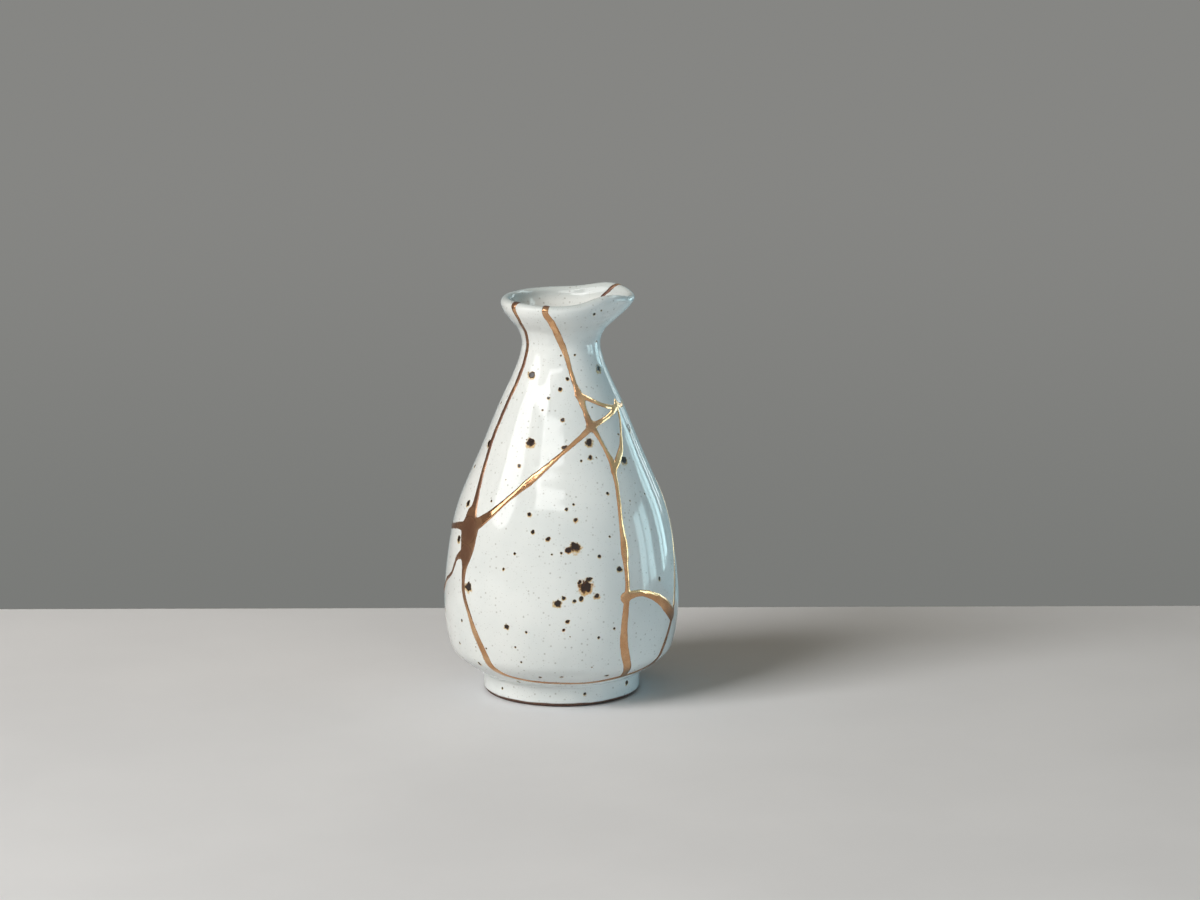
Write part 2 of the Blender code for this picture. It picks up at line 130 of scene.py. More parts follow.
# The mend. Each point of a route is (degrees round, percent of the rim height, share of the
# bead's width); a height past 98.7 goes on over the lip and down the inside of the mouth.
BEAD_WIDTH = 2.0 * MM
SEAM_ROUTES = {
    "left_neck": [
        (-52, 107, 0.75), (-52, 103, 1.0), (-52, 100.5, 1.3), (-51, 98.5, 1.0), (-49, 96.5, 0.85),
        (-55, 92, 0.8), (-59, 87.5, 0.85), (-61, 80, 1.0), (-64, 73, 1.0), (-66, 66, 1.05),
        (-64, 61, 1.0), (-60, 54, 1.1), (-58, 50, 1.6), (-58, 45, 3.0),
    ],
    "star_fill": [(-59, 47.5, 3.0), (-58, 45, 4.75), (-57, 41, 4.2), (-57, 38, 3.2), (-57, 34.5, 1.1)],
    "star_left_arm": [
        (-58, 44.5, 2.25), (-69, 44.2, 1.2), (-89, 42.3, 0.9), (-108, 43, 0.9), (-128, 40, 1.1),
        (-150, 42, 0.9), (-168, 46, 1.2), (-188, 44.5, 1.0), (-208, 46, 0.9), (-226, 49, 1.3),
        (-248, 47.5, 0.9), (-264, 49.5, 1.2),
    ],
    "left_flank": [
        (-60, 38, 1.8), (-66, 36.3, 0.85), (-70, 32.5, 0.65), (-79, 29.5, 0.7), (-89, 25.5, 0.8),
        (-104, 23.5, 0.9), (-122, 25, 1.1), (-142, 22, 0.8), (-161, 24.5, 1.0), (-180, 29, 1.0),
        (-194, 35, 0.9), (-202, 41, 1.1), (-208, 46, 1.2),
    ],
    "front_left_foot": [
        (-57, 36, 1.5), (-57, 32, 0.95), (-56, 29, 0.9), (-51, 24, 0.85), (-47, 19.5, 1.15),
        (-43, 15.5, 1.25), (-39, 10.5, 1.3), (-34, 8.8, 0.85),
    ],
    "foot_line": [
        (-38, 10, 1.1), (-34, 8.8, 0.8), (-19, 7.5, 0.8), (-2, 7.1, 0.8), (18, 6.8, 0.8),
        (38, 7.6, 1.0), (52, 8.4, 0.8), (61, 9.6, 0.9),
    ],
    "right_flank": [
        (58, 9.2, 0.8), (61, 11, 0.9), (64, 15, 0.9), (69, 20.5, 0.9), (73, 25.5, 0.9),
        (77, 31, 0.9), (82, 36, 0.9), (90, 42, 0.95), (96, 49.5, 1.2), (104, 57, 0.9),
        (108, 65, 1.0), (106, 74.5, 1.2),
    ],
    "front_neck": [
        (-15, 107, 0.75), (-15, 103, 1.0), (-15, 100.5, 1.1), (-15, 98.5, 1.0), (-10, 96, 1.15),
        (-4, 92, 1.05), (3, 89, 0.95), (9, 86, 0.75), (16, 80, 0.75), (20, 77, 1.2), (22.5, 74, 0.9),
        (26, 70, 1.3),
    ],
    "diagonal": [
        (-58, 45, 2.0), (-50, 46.5, 1.9), (-44, 48.5, 1.4), (-34, 52.5, 0.95), (-27, 55.2, 1.0),
        (-20, 57.7, 1.3), (-10, 61, 0.85), (0, 64, 0.65), (12, 67, 0.75), (22, 69.2, 0.95),
        (27, 70.4, 1.3),
    ],
    "small_shard_top": [
        (18, 77.5, 1.0), (28, 76.6, 0.75), (45, 74.6, 0.7), (60, 73.7, 0.75), (67, 74.0, 0.95),
        (76, 73.4, 0.8), (90, 73.6, 0.8), (109, 73.0, 1.0),
    ],
    "small_shard_foot": [(25, 70, 1.1), (36, 71.0, 0.8), (50, 72.3, 0.75), (65, 73.8, 0.9)],
    "right_shard": [
        (66, 74.8, 0.9), (62, 71, 0.5), (56, 67.6, 0.55), (51, 64.6, 0.9), (44.5, 62, 1.2),
        (37, 59.2, 0.85),
    ],
    "knot_down": [
        (26, 70.5, 1.2), (31, 67.5, 0.75), (35, 64, 0.75), (37.5, 61.5, 1.1), (37, 57, 0.75),
        (35, 51, 0.75), (34, 47, 0.8), (34, 41, 1.4), (34, 36, 0.85), (34, 32, 0.85),
        (33, 28, 1.0), (31.5, 22, 1.25), (32, 17, 1.45), (35, 12.5, 1.45), (39, 8.6, 1.3),
    ],
    "right_wedge": [
        (32, 29.3, 1.6), (39, 29.8, 1.1), (47, 29, 1.15), (56, 26.7, 1.6), (63, 24.1, 2.2),
        (69, 21.5, 2.1),
    ],
    "back_neck": [
        (128, 108, 0.6), (123.5, 104, 0.65), (119, 102.5, 0.65), (116, 101, 0.75), (115, 98.5, 0.85),
        (116, 92, 0.8), (119, 85, 0.9), (115, 79, 1.1), (104, 71.5, 1.2),
    ],
}
PATH_STEP = 0.25 * MM
MEND_SIZES = {
    "Seams": len(SEAM_ROUTES),
    "Near Seam": 6.2 * MM,
    "Web": 0.22 * MM,
    "Crest": 0.45 * MM,
    "Edge Wander": 0.4 * MM,
    "Wander Grain": 2.4 * MM,
    "Bead Height": 0.22 * MM,
    "Bead Shoulder": 0.6 * MM,
    "Lumps": 0.08 * MM,
    "Lump Grain": 2.0 * MM,
    "Hem": 0.6 * MM,
    "Hem Sink": 0.65,
}
BEAD_DEPTH = 0.5 * MM
UNDER_THE_FOOT = -1.0 * MM  # the recess counts as below the wall, where no gold goes
LAST_WAY_INSIDE = 109.5  # how far down the inside of the mouth gold may go, as in the routes
NATURAL_BASE = 2.718282

# Where the gold is painted dark brown, partly for wear down to its lacquer and partly as a painted
# reflection of the dark room that the gold mirrors: (degrees round, percent of the rim height,
# millimetres, how dark)
WEAR_AND_DARK_REFLECTION = [
    (-58, 44, 8.0, 0.85), (-57, 38, 6.0, 0.85), (-52, 101, 2.6, 1.0), (-15, 101, 2.0, 1.0),
    (-55, 92, 9.0, 0.8), (-60, 83, 9.0, 0.9), (-63, 73, 9.0, 0.95), (-65, 64, 9.0, 0.95),
    (-60, 54, 9.0, 0.9), (-78, 44, 9.0, 0.8), (-70, 33, 8.0, 0.85), (-57, 30, 7.0, 0.7),
    (-98, 43, 9.0, 0.6), (-90, 25, 9.0, 0.7), (122, 104, 7.0, 1.0), (76, 30, 9.0, 0.7),
    (92, 43, 9.0, 0.6), (71, 23, 4.0, 0.5), (67, 18, 7.0, 0.8), (61, 11, 6.0, 0.7), (100, 53, 9.0, 0.5),
    (-4, 7.1, 12.0, 0.3), (24, 7.0, 12.0, 0.3), (26, 71, 3.5, 0.5), (14, 79, 4.0, 0.35),
]

# Iron spots that show in the glaze: (degrees round, percent of the rim height, millimetres
# across, how rusty from 0, black, to 1, ochre)
IRON_SPOTS = [
    (-39, 82, 2.6, 0.4), (8, 81.5, 1.1, 0.5), (-1, 79, 1.3, 0.5), (-13, 77, 1.1, 0.3), (1, 72, 1.4, 0.6),
    (56, 83, 2.3, 0.2), (20, 87, 0.8, 0.4), (34, 97, 1.0, 0.2), (41, 97.5, 0.6, 0.2), (-79, 74, 0.9, 0.3),
    (-24, 66.5, 2.8, 0.5), (2.5, 65.5, 1.6, 0.6), (22, 66.5, 2.6, 0.4), (21, 63, 1.4, 0.4),
    (14, 62.5, 0.8, 0.3), (-30, 61, 1.4, 0.5), (-69, 64.5, 2.4, 0.3), (72, 68, 2.4, 0.2),
    (52, 67.5, 0.8, 0.3), (49, 61.5, 2.9, 0.3),
    (-66, 50, 2.2, 0.3), (-18, 50, 1.4, 0.4), (-15, 46, 1.3, 0.4), (-7, 44.5, 1.4, 0.5),
    (-30, 36.5, 1.1, 0.4), (3, 51.5, 1.1, 0.3), (7, 52.5, 0.8, 0.3), (8, 49, 1.6, 0.6),
    (29, 54.5, 1.0, 0.3), (7, 42.7, 3.3, 0.5), (3.5, 41.8, 1.9, 0.7), (0, 41.2, 0.8, 0.3),
    (19.5, 40, 1.1, 0.3), (12, 33, 3.9, 0.8), (13.5, 34.7, 2.0, 0.4), (9, 34.1, 1.3, 0.6),
    (17, 30.5, 1.8, 0.6), (9.5, 30, 1.4, 0.4), (6, 29.5, 1.4, 0.3), (-2, 29, 2.5, 0.4),
    (1, 30.3, 1.3, 0.4), (3, 24.5, 1.3, 0.6), (1, 22.3, 1.0, 1.0), (-27, 22.3, 1.6, 0.3),
    (-57, 21.5, 0.8, 0.3),
    (-52, 30.5, 3.0, 0.4), (-67, 41, 2.2, 0.3), (-62, 15, 0.8, 0.3), (-48, 11, 1.4, 0.3),
    (-17, 21.5, 0.8, 0.3), (26, 22, 0.8, 0.3), (18, 20, 0.8, 0.3), (57, 32, 1.3, 0.2),
    (30, 36.5, 1.8, 0.3), (26, 44.5, 0.8, 0.3), (-12, 9.3, 1.0, 0.4), (0, 9.6, 1.0, 0.4),
    (26, 9, 1.3, 0.3), (-49, 3.2, 0.8, 0.3), (17, 3.2, 1.0, 0.3), (56, 4.0, 1.4, 0.3),
    (-29, 6.6, 1.4, 0.4),
]

# Spots scattered over the hidden side, and tiny ones all round
HIDDEN_SIDE = (85.0, 280.0)
HIDDEN_SPOTS = 70
TINY_SPOTS = 90
SPOT_SEED = 17

# How far the iron bled. The black core, the brown ring and the ochre halo fade over these shares
# of the spot's radius, and the halo ran down by a share of it.
BLEED_MARGIN = 0.4 * MM
CORE_FADE = (0.6, 0.95)
RING_FADE = (0.8, 1.05)
HALO_FADE = (0.9, 1.4)
HALO_SAG = 0.22

# The glaze, its iron and the bare clay
GLAZE_THIN = (0.66, 0.695, 0.685, 1.0)
GLAZE_THICK = (0.755, 0.775, 0.755, 1.0)
# The lip's grey-blue is partly thin glaze and partly a painted reflection
LIP_REFLECTION_GREY = (0.40, 0.46, 0.46, 1.0)
FLECK_GREY = (0.26, 0.25, 0.21, 1.0)
HALO_OLIVE, HALO_OCHRE = (0.48, 0.38, 0.15, 1.0), (0.66, 0.33, 0.06, 1.0)
RING_OLIVE, RING_RUST = (0.060, 0.040, 0.012, 1.0), (0.16, 0.050, 0.012, 1.0)
CORE_BLACK, CORE_BROWN = (0.007, 0.006, 0.004, 1.0), (0.030, 0.010, 0.005, 1.0)
CLAY_DARK, CLAY_LIGHT = (0.055, 0.028, 0.020, 1.0), (0.15, 0.075, 0.050, 1.0)
GLAZE_INDEX = 1.5
GLAZE_ROUGHNESS = (0.05, 0.11)
PIT_ROUGHNESS = 0.16
CLAY_ROUGHNESS = 0.75
GLAZE_SKIN = 0.010 * MM
PIT_DEPTH = 0.12 * MM
CLAY_GRIT = 0.08 * MM
BARE_FOOT = 1.15 * MM
BARE_FOOT_BLUR = 0.3 * MM
BARE_FOOT_WANDER = 0.8 * MM

# The glaze is thin on the lip, and the lip is painted grey-blue, partly for that and partly as a painted
# reflection of the dim room and the cool window. The lip starts and ends at these ways up the wall, in
# percent
LIP_START = (98.4, 100.2)
LIP_END = (105.0, 102.5)

# Fine grey flecks: how many to the metre, their size in their cell and their strength
FLECKS = [(600.0, 0.26, 0.55), (1300.0, 0.26, 0.4)]

# The gold and the lacquer under it
GOLD_DEEP, GOLD_BRIGHT = (0.60, 0.31, 0.15, 1.0), (0.80, 0.50, 0.28, 1.0)
# The dark band along a bead's edges: partly lacquer, partly painted shade
LACQUER_AND_SHADE_EDGE = (0.16, 0.065, 0.028, 1.0)
LACQUER_SPECK = (0.30, 0.14, 0.06, 1.0)
# The brown of bare lacquer, which also stands in for a painted dark reflection
WEAR_AND_REFLECTION_BROWN = (0.12, 0.055, 0.035, 1.0)
GOLD_ROUGHNESS = (0.08, 0.18)
LACQUER_ROUGHNESS = 0.35
GOLD_EDGE = 0.12 * MM
GOLD_FRAYING = 0.35 * MM
POWDER_GRAIN = 0.008 * MM
BRUSH_WAVES = 0.03 * MM

# The table and the room
TABLE_GREY, TABLE_PALE = (0.705, 0.715, 0.735, 1.0), (0.755, 0.765, 0.785, 1.0)
TABLE_ROUGHNESS = 0.7
TABLE_HALF_WIDTH = 1.3
TABLE_FRONT = -1.3
TABLE_BACK = 0.112
TABLE_THICKNESS = 0.05
TABLE_ROUNDING = 0.006
WALL_LOW, WALL_HIGH = (0.190, 0.195, 0.186, 1.0), (0.238, 0.238, 0.228, 1.0)
ROOM_LIGHT, CEILING_LIGHT = (0.060, 0.046, 0.028, 1.0), (0.36, 0.32, 0.26, 1.0)
ROOM_LEFT, ROOM_RIGHT = (0.13, 0.10, 0.09, 1.0), (0.37, 0.56, 0.60, 1.0)
ROOM_FRONT, CEILING_MIRRORED = (0.60, 0.60, 0.58, 1.0), (0.50, 0.52, 0.53, 1.0)
TOWARDS_CAMERA = (0.25, -0.97, 0.0)

# The windows as seen from the vase: name, degrees round, span, lowest and highest in degrees,
# brightness, colour and distance. The first set only lights the vase and the table, and the second
# is only mirrored in the glaze and the gold.
FAR, NEAR = 1.7, 0.4
DAYLIGHT = (1.0, 1.0, 1.0)
WINDOW_COOL = (0.64, 0.95, 1.0)
STRIP_COOL = (0.85, 0.98, 1.0)
LIGHTING_WINDOWS = [
    ("window_light", -55.0, 28.0, 21.0, 46.0, 14.0, (1.0, 0.985, 0.96), FAR),
    ("front_light", 28.0, 34.0, -1.0, 17.0, 2.4, (1.0, 0.98, 0.94), FAR),
    ("right_light", 70.0, 60.0, -1.0, 13.0, 2.3, (0.15, 0.68, 1.0), FAR),
]
MIRRORED_WINDOWS = [
    ("left_pane", -73.0, 27.0, 12.0, 40.0, 3.2, DAYLIGHT, FAR),
    ("upper_pane", -49.0, 32.0, 36.0, 46.0, 6.0, DAYLIGHT, FAR),
    ("front_pane", -14.0, 31.0, 32.0, 36.5, 4.2, DAYLIGHT, FAR),
    ("right_pane", 88.5, 9.0, -4.2, 18.0, 4.1, WINDOW_COOL, NEAR),
    ("right_middle_pane", 99.5, 9.5, -4.2, 18.0, 4.1, WINDOW_COOL, NEAR),
    ("right_far_pane", 120.0, 5.0, -4.2, 18.0, 4.1, WINDOW_COOL, NEAR),
    ("right_last_pane", 128.5, 8.0, -4.2, 18.0, 4.1, WINDOW_COOL, NEAR),
    ("right_strip", 143.0, 4.0, -1.0, 30.0, 3.0, STRIP_COOL, FAR),
    ("far_right_strip", 151.0, 3.0, -1.0, 30.0, 3.0, STRIP_COOL, FAR),
    ("spout_glint", 120.0, 50.0, 42.0, 52.0, 4.0, (0.80, 0.96, 1.0), FAR),
]
ROUND_PANES = ("left_pane",)

# The photograph's camera
CAMERA_PLACE = (0.0, -1.0407, 0.2828)
CAMERA_DIP = 11.14
CAMERA_PAN = -0.68
CAMERA_LENS = 100.0
CAMERA_SENSOR = 36.0


def smooth_curve(stations):
    """Points on the smooth curve through the stations, as tuples of any length."""
    knots = [np.array(station, dtype=float) for station in stations]
    knots = [2 * knots[0] - knots[1]] + knots + [2 * knots[-1] - knots[-2]]
    points = []
    for before, start, end, after in zip(knots, knots[1:], knots[2:], knots[3:]):
        gaps = [
            max(np.linalg.norm(b - a), 1e-9) ** 0.5
            for a, b in ((before, start), (start, end), (end, after))
        ]
        leave = gaps[1] * ((start - before) / gaps[0] - (end - before) / (gaps[0] + gaps[1])) + end - start
        arrive = gaps[1] * ((after - end) / gaps[2] - (after - start) / (gaps[1] + gaps[2])) + end - start
        for step in range(CURVE_STEPS):
            t = step / CURVE_STEPS
            points.append(
                (2 * t**3 - 3 * t**2 + 1) * start + (t**3 - 2 * t**2 + t) * leave
                + (3 * t**2 - 2 * t**3) * end + (t**3 - t**2) * arrive
            )
    points.append(knots[-2])
    return [tuple(point) for point in points]


def arc(centre, radius, start, end):
    """Points on an arc of a profile, from one angle to another, both ends included."""
    angles = [start + (end - start) * step / CURVE_STEPS for step in range(CURVE_STEPS + 1)]
    return [(centre[0] + radius * cos(a), centre[1] + radius * sin(a)) for a in angles]


def between(start, end, line):
    """Stations between two points of the wall, by their shares of the rise and of the widening."""
    (r0, z0), (r1, z1) = start, end
    return [(r0 + across * (r1 - r0), z0 + up * (z1 - z0)) for up, across in line]


def outer_wall():
    """The outside of the wall from the top of the foot up to the lip's widest point."""
    marks = [
        (FOOT_RADIUS, FOOT_HEIGHT),
        (KNEE_RADIUS, KNEE_HEIGHT),
        (BELLY_RADIUS, BELLY_HEIGHT),
        (NECK_RADIUS, NECK_HEIGHT),
        (LIP_RADIUS, RIM_HEIGHT - LIP_THICKNESS / 2),
    ]
    lines = [UNDERSIDE_LINE, BELLY_LINE, SHOULDER_LINE, FLARE_LINE]
    stations = marks[:1]
    for start, end, line in zip(marks, marks[1:], lines):
        stations += between(start, end, line) + [end]
    return smooth_curve(stations)


def lip_round():
    """The rounded lip, from its outside over the top to its inside."""
    half = LIP_THICKNESS / 2
    return arc((LIP_RADIUS - half, RIM_HEIGHT - half), half, 0.0, pi)


def inner_wall():
    """The inside of the wall from below the lip down to the middle of the floor."""
    floor_level = FOOT_RECESS + FLOOR_THICKNESS
    turn_level = floor_level + FLOOR_CORNER_SHARE * (BELLY_HEIGHT - floor_level)
    inside = []
    wall = outer_wall()
    for (r0, z0), (r1, z1) in zip(wall, wall[2:]):
        run = hypot(r1 - r0, z1 - z0)
        r = (r0 + r1) / 2 - WALL * (z1 - z0) / run
        z = (z0 + z1) / 2 + WALL * (r1 - r0) / run
        if turn_level < z < RIM_HEIGHT - LIP_THICKNESS:
            inside.append((r, z))
    inside.reverse()
    turn_radius, turn_level = inside[-1]
    corner = [
        (across * turn_radius, floor_level + up * (turn_level - floor_level))
        for up, across in FLOOR_CORNER_LINE
    ]
    return inside[:-1] + smooth_curve(inside[-2:] + corner)[CURVE_STEPS:] + [(0.0, floor_level)]


def foot_profile():
    """The foot ring and the recess under it, from the ring's outside to the axis."""
    bore = FOOT_RADIUS - FOOT_RING_WIDTH
    outside = arc((FOOT_RADIUS - FOOT_ROUNDING, FOOT_ROUNDING), FOOT_ROUNDING, 0.0, -pi / 2)
    inside = [(bore + out * FOOT_RING_WIDTH, up * FOOT_RECESS) for out, up in FOOT_INSIDE_LINE]
    return outside + smooth_curve([outside[-1]] + inside)[CURVE_STEPS:] + [(0.0, FOOT_RECESS)]


def even_steps(line, step):
    """The line walked again in steps of an even length, as an array."""
    line = np.array(line)
    lengths = np.concatenate([[0.0], np.cumsum(np.linalg.norm(np.diff(line, axis=0), axis=1))])
    count = max(2, round(lengths[-1] / step))
    stops = np.linspace(0.0, lengths[-1], count + 1)
    return np.stack([np.interp(stops, lengths, column) for column in line.T], axis=1)


def bottle_profile():
    """The bottle's whole profile from the foot's recess up the outside and down the inside to
    the floor, with each point's way up the wall in percent of the rim height."""
    foot = even_steps(foot_profile()[::-1], WALL_STEP * 1.5)
    wall = outer_wall()
    ring = even_steps([tuple(foot[-1]), wall[0]], WALL_STEP)
    outside = even_steps(wall + lip_round()[1:], WALL_STEP)
    inside = [tuple(outside[-1])] + inner_wall()
    mouth = even_steps([point for point in inside if point[1] >= NECK_HEIGHT], MOUTH_STEP)
    inside = [tuple(mouth[-1])] + [point for point in inside if point[1] < NECK_HEIGHT]
    inside = even_steps(inside, INSIDE_STEP)
    rows = np.concatenate([foot[:-1], ring[:-1], outside[:-1], mouth[:-1], inside])
    steps = np.linalg.norm(np.diff(rows, axis=0), axis=1)
    way = np.concatenate([[0.0], np.cumsum(steps)])
    widest = len(foot) - 1 + len(ring) - 1 + int(np.argmax(outside[:, 0] * (outside[:, 1] > NECK_HEIGHT)))
    levels = np.where(np.arange(len(rows)) <= widest, rows[:, 1], rows[widest, 1] + way - way[widest])
    levels[: len(foot) - 1] = UNDER_THE_FOOT
    return rows, levels / RIM_HEIGHT * 100.0


def bump(angle, centre, spread):
    """A smooth hump round the rim, one at its centre and falling away over its spread."""
    away = (angle - centre + 180.0) % 360.0 - 180.0
    return np.exp(-((away / spread) ** 2))


def pinch_mouth(angle, radius, height):
    """Where a point of the turned wall went when the soft mouth was pinched to a spout."""
    clay = CLAY_SIZES
    share = np.maximum(0.0, (height - NECK_HEIGHT) / MOUTH_DEPTH)
    front_cheek = bump(angle, clay["Front Cheek Angle"], clay["Front Cheek Spread"])
    back_cheek = bump(angle, clay["Back Cheek Angle"], clay["Back Cheek Spread"])
    spout = bump(angle, clay["Spout Angle"], clay["Spout Spread"])
    outward = (
        clay["Spout Reach"] * spout
        - clay["Front Cheek Pinch"] * front_cheek
        - clay["Back Cheek Pinch"] * back_cheek
    )
    upward = (
        clay["Front Cheek Rise"] * front_cheek
        + clay["Back Cheek Rise"] * back_cheek
        + clay["Back Rim Rise"] * bump(angle, clay["Back Rim Angle"], clay["Back Rim Spread"])
        - clay["Spout Drop"] * spout
        - clay["Front Rim Dip"] * bump(angle, clay["Front Rim Angle"], clay["Front Rim Spread"])
    )
    return radius + outward * share ** clay["Reach Power"], height + upward * share ** clay["Rise Power"]


def wall_places(angle, percent):
    """Points in space on the pinched wall, for arrays of angles and ways up the wall."""
    rows, way = bottle_profile()
    outside = way >= 0.0
    radius = np.interp(percent, way[outside], rows[outside, 0])
    height = np.interp(percent, way[outside], rows[outside, 1])
    radius, height = pinch_mouth(angle, radius, height)
    turn = np.radians(angle)
    return np.stack([radius * np.sin(turn), -radius * np.cos(turn), height], axis=-1)


class Tree:
    """A node tree under construction, for shapes or for a finish."""

    def __init__(self, tree):
        self.tree = tree
        self.inputs = None
        self.outputs = None

    @classmethod
    def of_shapes(cls, name, sizes, geometry=True):
        """A geometry tree that takes a mesh and named sizes, and gives a mesh."""
        made = cls(bpy.data.node_groups.new(name, "GeometryNodeTree"))
        if geometry:
            made.socket("Mesh", "Geometry")
            made.socket("Mesh", "Geometry", "OUTPUT")
        for size in sizes:
            made.socket(size)
        made.inputs = made.tree.nodes.new("NodeGroupInput").outputs
        made.outputs = made.tree.nodes.new("NodeGroupOutput").inputs
        return made

    def socket(self, name, kind="Float", way="INPUT"):
        self.tree.interface.new_socket(name, in_out=way, socket_type="NodeSocket" + kind)

    def feed(self, socket, value):
        if isinstance(value, bpy.types.Node):
            value = value.outputs[0]
        if isinstance(value, bpy.types.NodeSocket):
            self.tree.links.new(value, socket)
        else:
            socket.default_value = value

    def add(self, kind, feeds=None, **settings):
        """Add a node, make its settings, and feed its inputs by their names or places."""
        node = self.tree.nodes.new(kind)
        for setting, value in settings.items():
            setattr(node, setting, value)
        for socket, value in (feeds or {}).items():
            self.feed(node.inputs[socket], value)
        return node

    def math(self, operation, *values):
        return self.add("ShaderNodeMath", dict(enumerate(values)), operation=operation).outputs[0]

    def vector(self, operation, *values):
        node = self.add("ShaderNodeVectorMath", operation=operation)
        for place, value in enumerate(values):
            scale = operation == "SCALE" and place == 1
            self.feed(node.inputs["Scale" if scale else place], value)
        return node.outputs["Value" if operation in ("LENGTH", "DISTANCE", "DOT_PRODUCT") else "Vector"]

    def noise(self, at, scale, detail=2.0):
        """A noise between minus and plus one half."""
        node = self.add("ShaderNodeTexNoise", {"Vector": at, "Scale": scale, "Detail": detail})
        return self.math("SUBTRACT", node.outputs[0], 0.5)

    def between(self, value, low, high, to_low=0.0, to_high=1.0):
        """Ease a value from one range to another."""
        feeds = {"Value": value, "From Min": low, "From Max": high, "To Min": to_low, "To Max": to_high}
        return self.add("ShaderNodeMapRange", feeds, interpolation_type="SMOOTHSTEP").outputs["Result"]

    def mix(self, share, first, second):
        """Mix two colours by a share of the second."""
        node = self.add("ShaderNodeMix", data_type="RGBA")
        self.feed(node.inputs[0], share)
        self.feed(node.inputs[6], first)
        self.feed(node.inputs[7], second)
        return node.outputs[2]


def rim_bump_tree():
    """A smooth hump round the rim, as a node group."""
    tree = Tree.of_shapes("rim_bump", ("Angle", "Centre", "Spread"), geometry=False)
    tree.socket("Hump", way="OUTPUT")
    away = tree.math("SUBTRACT", tree.inputs["Angle"], tree.inputs["Centre"])
    away = tree.math("WRAP", away, 180.0, -180.0)
    square = tree.math("POWER", tree.math("DIVIDE", away, tree.inputs["Spread"]), 2.0)
    tree.feed(tree.outputs["Hump"], tree.math("EXPONENT", tree.math("MULTIPLY", square, -1.0)))
    return tree.tree


def turned_bottle_tree():
    """The bottle's tree: the profile turned round the axis, the mouth pinched to a spout, and
    the wall left as uneven as hands leave it."""
    tree = Tree.of_shapes("turned_bottle", list(CLAY_SIZES)[1:])
    tree.socket("Turned Sides", "Int")
    tree.socket("Glaze", "Material")
    given = tree.inputs

    profile = tree.add("GeometryNodeMeshToCurve", {0: given["Mesh"]})
    circle = tree.add(
        "GeometryNodeCurvePrimitiveCircle", {"Resolution": given["Turned Sides"], "Radius": CIRCLE_RADIUS}
    )
    turned = tree.add("GeometryNodeCurveToMesh", {"Curve": circle, "Profile Curve": profile})
    closed = tree.add("GeometryNodeMergeByDistance", {"Geometry": turned, "Distance": WELD})

    x, y, height = tree.add("ShaderNodeSeparateXYZ", {0: tree.add("GeometryNodeInputPosition")}).outputs
    angle = tree.math("DEGREES", tree.math("ARCTAN2", x, tree.math("MULTIPLY", y, -1.0)))
    radius = tree.math("SQRT", tree.math("ADD", tree.math("MULTIPLY", x, x), tree.math("MULTIPLY", y, y)))
    rim_bump = rim_bump_tree()

    def hump(name):
        feeds = {"Angle": angle, "Centre": given[name + " Angle"], "Spread": given[name + " Spread"]}
        group = tree.add("GeometryNodeGroup", node_tree=rim_bump)
        for socket, value in feeds.items():
            tree.feed(group.inputs[socket], value)
        return group.outputs[0]

    front_cheek = hump("Front Cheek")
    back_cheek = hump("Back Cheek")
    spout = hump("Spout")
    depth = tree.math("SUBTRACT", given["Rim Height"], given["Neck Height"])
    above_neck = tree.math("SUBTRACT", height, given["Neck Height"])
    share = tree.math("MAXIMUM", tree.math("DIVIDE", above_neck, depth), 0.0)
    outward = tree.math("MULTIPLY", given["Spout Reach"], spout)
    for cheek, pinch in ((front_cheek, "Front Cheek Pinch"), (back_cheek, "Back Cheek Pinch")):
        outward = tree.math("SUBTRACT", outward, tree.math("MULTIPLY", given[pinch], cheek))
    rises = [
        tree.math("MULTIPLY", given["Front Cheek Rise"], front_cheek),
        tree.math("MULTIPLY", given["Back Cheek Rise"], back_cheek),
        tree.math("MULTIPLY", given["Back Rim Rise"], hump("Back Rim")),
    ]
    drops = [
        tree.math("MULTIPLY", given["Spout Drop"], spout),
        tree.math("MULTIPLY", given["Front Rim Dip"], hump("Front Rim")),
    ]
    upward = tree.math("ADD", tree.math("ADD", rises[0], rises[1]), rises[2])
    upward = tree.math("SUBTRACT", tree.math("SUBTRACT", upward, drops[0]), drops[1])
    outward = tree.math("MULTIPLY", outward, tree.math("POWER", share, given["Reach Power"]))
    upward = tree.math("MULTIPLY", upward, tree.math("POWER", share, given["Rise Power"]))
    grown = tree.math("DIVIDE", outward, tree.math("MAXIMUM", radius, 1.0 * MM))
    sideways, forwards = tree.math("MULTIPLY", x, grown), tree.math("MULTIPLY", y, grown)
    shift = tree.add("ShaderNodeCombineXYZ", {0: sideways, 1: forwards, 2: upward})
    pinched = tree.add("GeometryNodeSetPosition", {"Geometry": closed, "Offset": shift})

    at = tree.add("GeometryNodeInputPosition").outputs[0]
    level = tree.add("ShaderNodeSeparateXYZ", {0: at}).outputs[2]
    sway = tree.math("MULTIPLY", tree.noise(at, 14.0, 0.0), given["Out Of Round"])
    waves = tree.math("MULTIPLY", tree.noise(at, 60.0, 1.0), given["Soft Waves"])
    turns = tree.math("DIVIDE", level, given["Ring Pitch"])
    turns = tree.math("ADD", turns, tree.math("MULTIPLY", tree.noise(at, 25.0, 0.0), 1.5))
    rings = tree.math("SINE", tree.math("MULTIPLY", turns, 2 * pi))
    rings = tree.math("MULTIPLY", rings, given["Ring Depth"])
    uneven = tree.math("ADD", tree.math("ADD", sway, waves), rings)
    uneven = tree.math("MULTIPLY", uneven, tree.between(level, 0.0, given["Level Foot"]))
    push = tree.vector("SCALE", tree.add("GeometryNodeInputNormal"), uneven)
    thrown = tree.add("GeometryNodeSetPosition", {"Geometry": pinched, "Offset": push})

    smooth = tree.add("GeometryNodeSetShadeSmooth", {"Geometry": thrown})
    whole = tree.add("GeometryNodeRealizeInstances", {"Geometry": smooth})
    glazed = tree.add("GeometryNodeSetMaterial", {"Geometry": whole, "Material": given["Glaze"]})
    tree.feed(tree.outputs["Mesh"], glazed)
    return tree.tree


